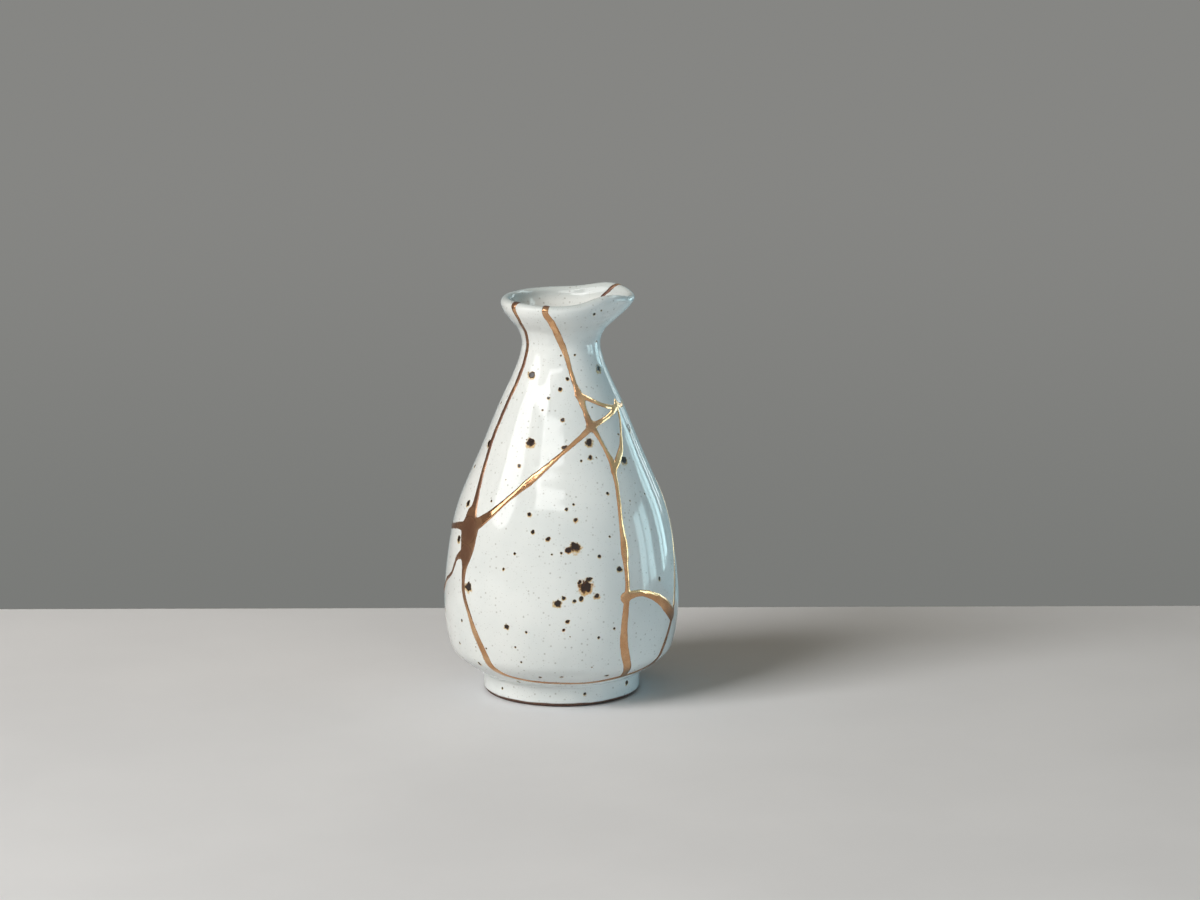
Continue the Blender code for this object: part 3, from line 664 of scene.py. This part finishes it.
def gold_mend_tree():
    """The mend's tree: the glaze near the breaks, raised to a bead of lacquer along each of them
    and webbed where they meet."""
    tree = Tree.of_shapes("gold_mend", list(MEND_SIZES)[1:])
    tree.socket("Seams", "Int")
    tree.socket("Breaks", "Object")
    tree.socket("Gold", "Material")
    given = tree.inputs

    def named(name, kind="FLOAT"):
        return tree.add("GeometryNodeInputNamedAttribute", {"Name": name}, data_type=kind).outputs[0]

    def nearest(target, part):
        return tree.add("GeometryNodeProximity", {0: target}, target_element=part)

    def kept_as(name, mesh, value, kind="FLOAT"):
        """The mesh with a value kept at each of its points."""
        feeds = {"Geometry": mesh, "Name": name, "Value": value}
        return tree.add("GeometryNodeStoreNamedAttribute", feeds, data_type=kind, domain="POINT")

    def without(mesh, chosen):
        feeds = {"Geometry": mesh, "Selection": chosen}
        return tree.add("GeometryNodeDeleteGeometry", feeds, domain="POINT")

    def rounded(length):
        """The length, levelled off near zero, so that a bead has a round crest and no ridge."""
        squares = [tree.math("POWER", value, 2.0) for value in (length, given["Crest"])]
        return tree.math("SQRT", tree.math("ADD", *squares))

    ground = given["Mesh"]
    breaks = tree.add("GeometryNodeObjectInfo", {"Object": given["Breaks"]}).outputs["Geometry"]
    on_glaze = nearest(ground, "FACES").outputs["Position"]
    breaks = tree.add("GeometryNodeSetPosition", {"Geometry": breaks, "Position": on_glaze}).outputs[0]

    way_out = tree.add("GeometryNodeInputNormal")
    kept_way = kept_as("way_out", ground, way_out, "FLOAT_VECTOR")
    inside = tree.math("GREATER_THAN", named("wall_way"), LAST_WAY_INSIDE)
    below = tree.math("LESS_THAN", named("wall_way"), 0.0)
    far = tree.math("GREATER_THAN", nearest(breaks, "EDGES").outputs["Distance"], given["Near Seam"])
    away = tree.math("MAXIMUM", tree.math("MAXIMUM", inside, below), far)
    fine = tree.add("GeometryNodeSubdivideMesh", {"Mesh": without(kept_way, away), "Level": 1})
    empty = kept_as("reach", fine, 0.0)

    start = tree.add("GeometryNodeRepeatInput")
    end = tree.add("GeometryNodeRepeatOutput")
    start.pair_with_output(end)
    tree.feed(start.inputs["Iterations"], given["Seams"])
    tree.feed(start.inputs["Geometry"], empty)
    this_seam = tree.math("COMPARE", named("seam_number", "INT"), start.outputs["Iteration"], 0.1)
    chosen = {"Geometry": breaks, "Selection": this_seam}
    seam = tree.add("GeometryNodeSeparateGeometry", chosen).outputs[0]
    point = tree.add("GeometryNodeSampleNearest", {"Geometry": seam})
    width = tree.add(
        "GeometryNodeSampleIndex", {"Geometry": seam, "Value": named("bead_width"), "Index": point}
    )
    half = tree.math("MULTIPLY", width, 0.5)
    off_middle = nearest(seam, "EDGES").outputs["Distance"]
    margin = tree.math("SUBTRACT", rounded(half), rounded(off_middle))
    pull = tree.math("EXPONENT", tree.math("DIVIDE", margin, given["Web"]))
    summed = tree.math("ADD", named("reach"), pull)
    tree.feed(end.inputs["Geometry"], kept_as("reach", start.outputs["Geometry"], summed))

    at = tree.add("GeometryNodeInputPosition").outputs[0]
    wander_scale = tree.math("DIVIDE", 1.0, given["Wander Grain"])
    wander = tree.math("MULTIPLY", tree.noise(at, wander_scale), given["Edge Wander"])
    webbed = tree.math("MULTIPLY", tree.math("LOGARITHM", named("reach"), NATURAL_BASE), given["Web"])
    measured = kept_as("bead_reach", end.outputs["Geometry"], tree.math("ADD", webbed, wander))
    reach = named("bead_reach")
    outside = tree.math("LESS_THAN", reach, tree.math("MULTIPLY", given["Hem"], -1.0))
    trimmed = without(measured, outside)
    climb = tree.add("ShaderNodeClamp", {0: tree.math("DIVIDE", reach, given["Bead Shoulder"])}).outputs[0]
    dome = tree.math("SUBTRACT", 1.0, tree.math("POWER", tree.math("SUBTRACT", 1.0, climb), 2.0))
    lump_scale = tree.math("DIVIDE", 1.0, given["Lump Grain"])
    lumps = tree.math("MULTIPLY", tree.noise(at, lump_scale, 1.0), given["Lumps"])
    rise = tree.math("MULTIPLY", dome, tree.math("ADD", given["Bead Height"], lumps))
    sink = tree.math("MULTIPLY", tree.math("MINIMUM", reach, 0.0), given["Hem Sink"])
    push = tree.vector("SCALE", named("way_out", "FLOAT_VECTOR"), tree.math("ADD", rise, sink))
    raised = tree.add("GeometryNodeSetPosition", {"Geometry": trimmed, "Offset": push})

    smooth = tree.add("GeometryNodeSetShadeSmooth", {"Geometry": raised})
    whole = tree.add("GeometryNodeRealizeInstances", {"Geometry": smooth})
    golden = tree.add("GeometryNodeSetMaterial", {"Geometry": whole, "Material": given["Gold"]})
    tree.feed(tree.outputs["Mesh"], golden)
    return tree.tree


def grow(piece, tree, sizes):
    """Run a tree on a piece with its sizes, and leave the piece a plain mesh."""
    growth = piece.modifiers.new(tree.name, "NODES")
    growth.node_group = tree
    for socket in tree.interface.items_tree:
        if socket.in_out == "INPUT" and socket.name in sizes:
            growth[socket.identifier] = sizes[socket.name]
    depsgraph = bpy.context.evaluated_depsgraph_get()
    mesh = bpy.data.meshes.new_from_object(piece.evaluated_get(depsgraph))
    piece.modifiers.remove(growth)
    mesh.name = piece.name
    piece.data = mesh
    return mesh


def new_piece(name, points, edges, **attributes):
    """A piece of bare points and edges, with a number of each kind at every point."""
    mesh = bpy.data.meshes.new(name)
    mesh.from_pydata([tuple(point) for point in points], edges, [])
    for attribute, values in attributes.items():
        kind = "INT" if np.asarray(values).dtype.kind == "i" else "FLOAT"
        mesh.attributes.new(attribute, kind, "POINT").data.foreach_set("value", values)
    piece = bpy.data.objects.new(name, mesh)
    bpy.context.scene.collection.objects.link(piece)
    return piece


def break_paths():
    """The middles of all the breaks as one set of paths, each point with its bead's width."""
    places, widths, numbers, edges = [], [], [], []
    for number, route in enumerate(SEAM_ROUTES.values()):
        dense = np.array(smooth_curve(route))
        line = wall_places(dense[:, 0], dense[:, 1])
        walked = even_steps(np.column_stack([line, dense[:, 2] * BEAD_WIDTH]), PATH_STEP)
        edges += [(len(places) + i, len(places) + i + 1) for i in range(len(walked) - 1)]
        places += list(walked[:, :3])
        widths += list(walked[:, 3])
        numbers += [number] * len(walked)
    numbers = np.array(numbers, np.int32)
    return new_piece("break_paths", places, edges, bead_width=widths, seam_number=numbers)


def face_outwards(mesh):
    """Turn a closed mesh's faces outwards."""
    shell = bmesh.new()
    shell.from_mesh(mesh)
    bmesh.ops.recalc_face_normals(shell, faces=shell.faces)
    if shell.calc_volume(signed=True) < 0:
        bmesh.ops.reverse_faces(shell, faces=shell.faces)
    shell.to_mesh(mesh)
    shell.free()


def iron_spots():
    """Every iron spot: its place on the wall, its radius and how rusty it is."""
    shown = np.array(IRON_SPOTS)
    rng = np.random.default_rng(SPOT_SEED)
    back = np.column_stack([
        rng.uniform(*HIDDEN_SIDE, HIDDEN_SPOTS),
        rng.uniform(8.0, 97.0, HIDDEN_SPOTS),
        0.7 + 2.4 * rng.random(HIDDEN_SPOTS) ** 3,
        rng.uniform(0.2, 0.8, HIDDEN_SPOTS),
    ])
    tiny = np.column_stack([
        rng.uniform(0.0, 360.0, TINY_SPOTS),
        rng.uniform(3.0, 99.0, TINY_SPOTS),
        rng.uniform(0.4, 0.7, TINY_SPOTS),
        rng.uniform(0.2, 0.7, TINY_SPOTS),
    ])
    spots = np.concatenate([shown, back, tiny])
    return wall_places(spots[:, 0], spots[:, 1]), spots[:, 2] / 2 * MM, spots[:, 3]


def mark_iron(mesh):
    """Tell each face of the glaze its nearest and next nearest iron spot: where, how big, how rusty."""
    middles = np.empty(len(mesh.polygons) * 3)
    mesh.polygons.foreach_get("center", middles)
    middles = middles.reshape(-1, 3)
    centres, sizes, rust = iron_spots()
    closest = np.full((2, len(middles)), np.inf)
    owners = np.zeros((2, len(middles)), np.int64)
    for index, (centre, size) in enumerate(zip(centres, sizes)):
        share = np.linalg.norm(middles - centre, axis=1) / (size + BLEED_MARGIN)
        first = share < closest[0]
        second = ~first & (share < closest[1])
        closest[1] = np.where(first, closest[0], np.where(second, share, closest[1]))
        owners[1] = np.where(first, owners[0], np.where(second, index, owners[1]))
        closest[0][first] = share[first]
        owners[0][first] = index
    for name, owner in zip(("near", "next"), owners):
        centre = mesh.attributes.new(name + "_iron_centre", "FLOAT_VECTOR", "FACE")
        centre.data.foreach_set("vector", centres[owner].ravel())
        for fact, values in (("size", sizes), ("rust", rust)):
            attribute = mesh.attributes.new(f"{name}_iron_{fact}", "FLOAT", "FACE")
            attribute.data.foreach_set("value", values[owner])


def finish_tree(name):
    """A new finish and its tree, with its shader."""
    material = bpy.data.materials.new(name)
    material.use_nodes = True
    return material, Tree(material.node_tree), material.node_tree.nodes["Principled BSDF"]


def white_glaze():
    """A white glaze over iron-flecked clay: faintly mottled, glossy, with spots of iron that bled,
    fine grey flecks, and bare brown clay at the foot."""
    material, tree, shader = finish_tree("white_glaze")
    at = tree.add("ShaderNodeTexCoord").outputs["Object"]
    level = tree.add("ShaderNodeSeparateXYZ", {0: at}).outputs[2]

    cloud = tree.between(tree.noise(at, 45.0, 3.0), -0.25, 0.25)
    colour = tree.mix(cloud, GLAZE_THIN, GLAZE_THICK)

    way = tree.add("ShaderNodeAttribute", attribute_name="wall_way").outputs["Fac"]
    # The lip is painted grey-blue: partly thin glaze, partly a painted reflection of the dim room and the
    # cool window
    lip = tree.math("MULTIPLY", tree.between(way, *LIP_START), tree.between(way, *LIP_END))
    colour = tree.mix(tree.math("MULTIPLY", lip, 0.5), colour, LIP_REFLECTION_GREY)

    for scale, size, strength in FLECKS:
        cells = tree.add("ShaderNodeTexVoronoi", {"Vector": at, "Scale": scale})
        shown = tree.between(tree.add("ShaderNodeSeparateColor", {0: cells.outputs["Color"]}), 0.35, 0.75)
        fleck = tree.between(cells.outputs["Distance"], size * 0.3, size, strength, 0.0)
        colour = tree.mix(tree.math("MULTIPLY", fleck, shown), colour, FLECK_GREY)

    ragged = tree.math("MULTIPLY", tree.noise(at, 640.0, 1.0), 1.5)
    ragged = tree.math("ADD", ragged, tree.math("MULTIPLY", tree.noise(at, 1700.0, 2.0), 0.8))
    spreads, bleeds = [], []
    for owner in ("near", "next"):
        centre = tree.add("ShaderNodeAttribute", attribute_name=owner + "_iron_centre").outputs["Vector"]
        size = tree.add("ShaderNodeAttribute", attribute_name=owner + "_iron_size").outputs["Fac"]
        sag = tree.add("ShaderNodeCombineXYZ", {2: tree.math("MULTIPLY", size, -HALO_SAG)})
        for found, middle in ((spreads, centre), (bleeds, tree.vector("ADD", centre, sag))):
            away = tree.math("DIVIDE", tree.vector("DISTANCE", at, middle), size)
            found.append(tree.math("ADD", away, ragged))
    spread = tree.math("MINIMUM", spreads[0], spreads[1])
    bled = tree.math("MINIMUM", bleeds[0], bleeds[1])
    rust = tree.add("ShaderNodeAttribute", attribute_name="near_iron_rust").outputs["Fac"]
    halo = tree.between(bled, *HALO_FADE, 0.85, 0.0)
    colour = tree.mix(halo, colour, tree.mix(rust, HALO_OLIVE, HALO_OCHRE))
    ring = tree.between(spread, *RING_FADE, 1.0, 0.0)
    colour = tree.mix(ring, colour, tree.mix(rust, RING_OLIVE, RING_RUST))
    core = tree.between(spread, *CORE_FADE, 1.0, 0.0)
    colour = tree.mix(core, colour, tree.mix(rust, CORE_BLACK, CORE_BROWN))

    edge = tree.math("ADD", level, tree.math("MULTIPLY", tree.noise(at, 120.0, 2.0), BARE_FOOT_WANDER))
    bare = tree.between(edge, BARE_FOOT, BARE_FOOT + BARE_FOOT_BLUR, 1.0, 0.0)
    grit = tree.between(tree.noise(at, 1400.0, 3.0), -0.3, 0.3)
    clay = tree.mix(grit, CLAY_DARK, CLAY_LIGHT)
    colour = tree.mix(bare, colour, clay)
    tree.feed(shader.inputs["Base Color"], colour)

    gloss = tree.between(tree.noise(at, 70.0, 2.0), -0.3, 0.3, *GLAZE_ROUGHNESS)
    gloss = tree.math("MAXIMUM", gloss, tree.math("MULTIPLY", core, PIT_ROUGHNESS))
    gloss = tree.math("MAXIMUM", gloss, tree.math("MULTIPLY", bare, CLAY_ROUGHNESS))
    tree.feed(shader.inputs["Roughness"], gloss)
    shader.inputs["IOR"].default_value = GLAZE_INDEX

    skin = tree.math("MULTIPLY", tree.noise(at, 260.0, 2.0), GLAZE_SKIN)
    pits = tree.math("MULTIPLY", core, -PIT_DEPTH)
    rough = tree.math("MULTIPLY", tree.math("MULTIPLY", grit, bare), CLAY_GRIT)
    height = tree.math("ADD", tree.math("ADD", skin, pits), rough)
    relief = tree.add("ShaderNodeBump", {"Height": height, "Distance": 1.0, "Strength": 1.0})
    tree.feed(shader.inputs["Normal"], relief)
    return material


def gold_lacquer():
    """Gold powder burnished on lacquer: copper-gold on the crown, with a dark brown band along the edges
    that is partly lacquer and partly painted shade, and patches painted dark brown, partly for wear and
    partly as a painted reflection of a dark room."""
    material, tree, shader = finish_tree("gold_lacquer")
    at = tree.add("ShaderNodeTexCoord").outputs["Object"]
    reach = tree.add("ShaderNodeAttribute", attribute_name="bead_reach").outputs["Fac"]
    wear_and_reflection = tree.add("ShaderNodeAttribute", attribute_name="bare_lacquer").outputs["Fac"]

    cloud = tree.between(tree.noise(at, 260.0, 3.0), -0.3, 0.3)
    colour = tree.mix(cloud, GOLD_DEEP, GOLD_BRIGHT)
    frayed = tree.math("ADD", reach, tree.math("MULTIPLY", tree.noise(at, 900.0, 3.0), GOLD_FRAYING))
    # A dark band at the bead's edges: partly lacquer showing, partly painted shade
    edge = tree.between(frayed, 0.0, GOLD_EDGE, 0.55, 0.0)
    colour = tree.mix(edge, colour, LACQUER_AND_SHADE_EDGE)
    speck = tree.between(tree.noise(at, 2300.0, 2.0), 0.0, 0.3, 0.0, 0.35)
    colour = tree.mix(speck, colour, LACQUER_SPECK)
    # Painted dark brown where the gold would mirror a dark room, and where it has lost its gold
    colour = tree.mix(wear_and_reflection, colour, WEAR_AND_REFLECTION_BROWN)
    tree.feed(shader.inputs["Base Color"], colour)
    tree.feed(shader.inputs["Metallic"], tree.math("SUBTRACT", 0.95, tree.math("MULTIPLY", wear_and_reflection, 0.5)))
    sheen = tree.between(tree.noise(at, 500.0, 3.0), -0.3, 0.3, *GOLD_ROUGHNESS)
    sheen = tree.math("MAXIMUM", sheen, tree.math("MULTIPLY", wear_and_reflection, LACQUER_ROUGHNESS))
    tree.feed(shader.inputs["Roughness"], sheen)
    powder = tree.math("MULTIPLY", tree.noise(at, 2600.0, 2.0), POWDER_GRAIN)
    waves = tree.math("MULTIPLY", tree.noise(at, 700.0, 2.0), BRUSH_WAVES)
    height = tree.math("ADD", powder, waves)
    relief = tree.add("ShaderNodeBump", {"Height": height, "Distance": 1.0, "Strength": 1.0})
    tree.feed(shader.inputs["Normal"], relief)
    return material


def make_bottle():
    """The glazed bottle, turned from its profile by its tree. The profile lies flat for that, and
    its heights run down because the circle that carries it does."""
    rows, way = bottle_profile()
    points = np.column_stack([rows[:, 0], -rows[:, 1], np.zeros(len(rows))])
    edges = [(i, i + 1) for i in range(len(rows) - 1)]
    bottle = new_piece("glazed_bottle", points, edges, wall_way=way)
    grow(bottle, turned_bottle_tree(), {**CLAY_SIZES, "Glaze": white_glaze()})
    face_outwards(bottle.data)
    return bottle


def trim_corners(mesh):
    """Take away the hem's faces that touch the rest at one corner only."""
    hem = bmesh.new()
    hem.from_mesh(mesh)
    while True:
        loose = [
            corner for corner in hem.verts
            if not corner.link_faces or sum(edge.is_boundary for edge in corner.link_edges) > 2
        ]
        if not loose:
            break
        bmesh.ops.delete(hem, geom=loose, context="VERTS")
    hem.to_mesh(mesh)
    hem.free()


def make_mend(bottle):
    """The gold mend, grown on the bottle's own glaze by its tree."""
    breaks = break_paths()
    mend = bpy.data.objects.new("gold_mend", bottle.data.copy())
    bpy.context.scene.collection.objects.link(mend)
    grow(mend, gold_mend_tree(), {**MEND_SIZES, "Breaks": breaks, "Gold": gold_lacquer()})
    bpy.data.objects.remove(breaks, do_unlink=True)
    trim_corners(mend.data)

    points = np.empty(len(mend.data.vertices) * 3)
    mend.data.vertices.foreach_get("co", points)
    points = points.reshape(-1, 3)
    # How dark each point of the gold is painted, for wear and for the dark room it mirrors
    wear_and_reflection = np.zeros(len(points))
    for angle, percent, reach, amount in WEAR_AND_DARK_REFLECTION:
        away = np.linalg.norm(points - wall_places(np.array(angle), np.array(percent)), axis=1)
        wear_and_reflection = np.maximum(wear_and_reflection, amount * np.exp(-((away / (reach * MM)) ** 4)))
    mend.data.attributes.new("bare_lacquer", "FLOAT", "POINT").data.foreach_set("value", wear_and_reflection)

    thicken = mend.modifiers.new("thicken", "SOLIDIFY")
    thicken.thickness = BEAD_DEPTH
    thicken.offset = -1.0
    depsgraph = bpy.context.evaluated_depsgraph_get()
    solid = bpy.data.meshes.new_from_object(mend.evaluated_get(depsgraph))
    mend.modifiers.remove(thicken)
    solid.name = "gold_mend"
    mend.data = solid
    return mend


def pale_table():
    """The finish of the table: pale, matt and faintly rubbed."""
    material, tree, shader = finish_tree("pale_table")
    at = tree.add("ShaderNodeTexCoord").outputs["Object"]
    cloud = tree.between(tree.noise(at, 9.0, 5.0), -0.25, 0.25)
    tree.feed(shader.inputs["Base Color"], tree.mix(cloud, TABLE_GREY, TABLE_PALE))
    shader.inputs["Roughness"].default_value = TABLE_ROUGHNESS
    shader.inputs["Specular IOR Level"].default_value = 0.0
    return material


def make_table():
    """The table top, whose far edge passes close behind the vase."""
    mesh = bpy.data.meshes.new("table_top")
    slab = bmesh.new()
    bmesh.ops.create_cube(slab, size=1.0)
    for vertex in slab.verts:
        x, y, z = vertex.co
        vertex.co = (
            x * 2 * TABLE_HALF_WIDTH,
            TABLE_FRONT + (y + 0.5) * (TABLE_BACK - TABLE_FRONT),
            (z - 0.5) * TABLE_THICKNESS,
        )
    bmesh.ops.bevel(slab, geom=slab.edges, offset=TABLE_ROUNDING, segments=5, profile=0.5, affect="EDGES")
    slab.to_mesh(mesh)
    slab.free()
    top = bpy.data.objects.new("table_top", mesh)
    mesh.materials.append(pale_table())
    mesh.shade_smooth()
    bpy.context.scene.collection.objects.link(top)


def make_window(mirrored, name, azimuth, span, low, high, brightness, colour, distance):
    """A window pane that either lights what it falls on, or is mirrored in glaze and gold."""
    middle = radians((low + high) / 2)
    turn = radians(azimuth)
    pane = bpy.data.lights.new(name, "AREA")
    pane.shape = "ELLIPSE" if name in ROUND_PANES else "RECTANGLE"
    pane.size = 2 * distance * tan(radians(span / 2))
    pane.size_y = 2 * distance * tan(radians((high - low) / 2))
    pane.energy = brightness * pi * pane.size * pane.size_y
    pane.color = colour
    window = bpy.data.objects.new(name, pane)
    window.location = (
        distance * cos(middle) * sin(turn),
        -distance * cos(middle) * cos(turn),
        distance * sin(middle) + BELLY_HEIGHT,
    )
    window.rotation_euler = (pi / 2 - middle, 0.0, turn)
    window.visible_camera = False
    window.visible_diffuse = not mirrored
    window.visible_glossy = mirrored
    bpy.context.scene.collection.objects.link(window)


def make_windows():
    """A bright window high at the left front with its mirrored panes, cool panes and strips at the
    right, and a glint on the spout."""
    for windows, mirrored in ((LIGHTING_WINDOWS, False), (MIRRORED_WINDOWS, True)):
        for window in windows:
            make_window(mirrored, *window)


def make_room():
    """A dim room: a plain wall to the camera, a warm gloom to matt surfaces, and to glossy ones a
    room that is dark at the left, pale at the front and cool at the right."""
    world = bpy.data.worlds.new("dim_room")
    world.use_nodes = True
    bpy.context.scene.world = world
    tree = Tree(world.node_tree)
    way = tree.add("ShaderNodeTexCoord").outputs["Generated"]
    east, _, up = tree.add("ShaderNodeSeparateXYZ", {0: way}).outputs
    ceiling = tree.between(up, 0.6, 0.9)
    light = tree.mix(ceiling, ROOM_LIGHT, CEILING_LIGHT)
    mirrored = tree.mix(tree.between(east, -0.8, 0.8), ROOM_LEFT, ROOM_RIGHT)
    facing = tree.vector("DOT_PRODUCT", way, TOWARDS_CAMERA)
    mirrored = tree.mix(tree.between(facing, 0.2, 0.9), mirrored, ROOM_FRONT)
    mirrored = tree.mix(ceiling, mirrored, CEILING_MIRRORED)
    wall = tree.mix(tree.between(up, -0.26, -0.10), WALL_LOW, WALL_HIGH)
    ray = tree.add("ShaderNodeLightPath").outputs
    seen = tree.mix(ray["Is Glossy Ray"], light, mirrored)
    backdrop = world.node_tree.nodes["Background"]
    tree.feed(backdrop.inputs["Color"], tree.mix(ray["Is Camera Ray"], seen, wall))


def make_camera():
    """The photograph's own viewpoint."""
    lens = bpy.data.cameras.new("camera")
    lens.lens = CAMERA_LENS
    lens.sensor_width = CAMERA_SENSOR
    camera = bpy.data.objects.new("camera", lens)
    camera.location = CAMERA_PLACE
    camera.rotation_euler = (radians(90.0 - CAMERA_DIP), 0.0, radians(CAMERA_PAN))
    bpy.context.scene.collection.objects.link(camera)
    bpy.context.scene.camera = camera
    bpy.context.scene.view_settings.view_transform = "Standard"


def main():
    make_camera()
    make_windows()
    make_room()
    make_table()
    bottle = make_bottle()
    mend = make_mend(bottle)
    mark_iron(bottle.data)
    for piece, node, slot in (
        (bottle, "vase", "glazed_stoneware"),
        (mend, "gold_seams", "gold_lacquer"),
    ):
        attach(piece, "root")
        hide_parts(node)


main()
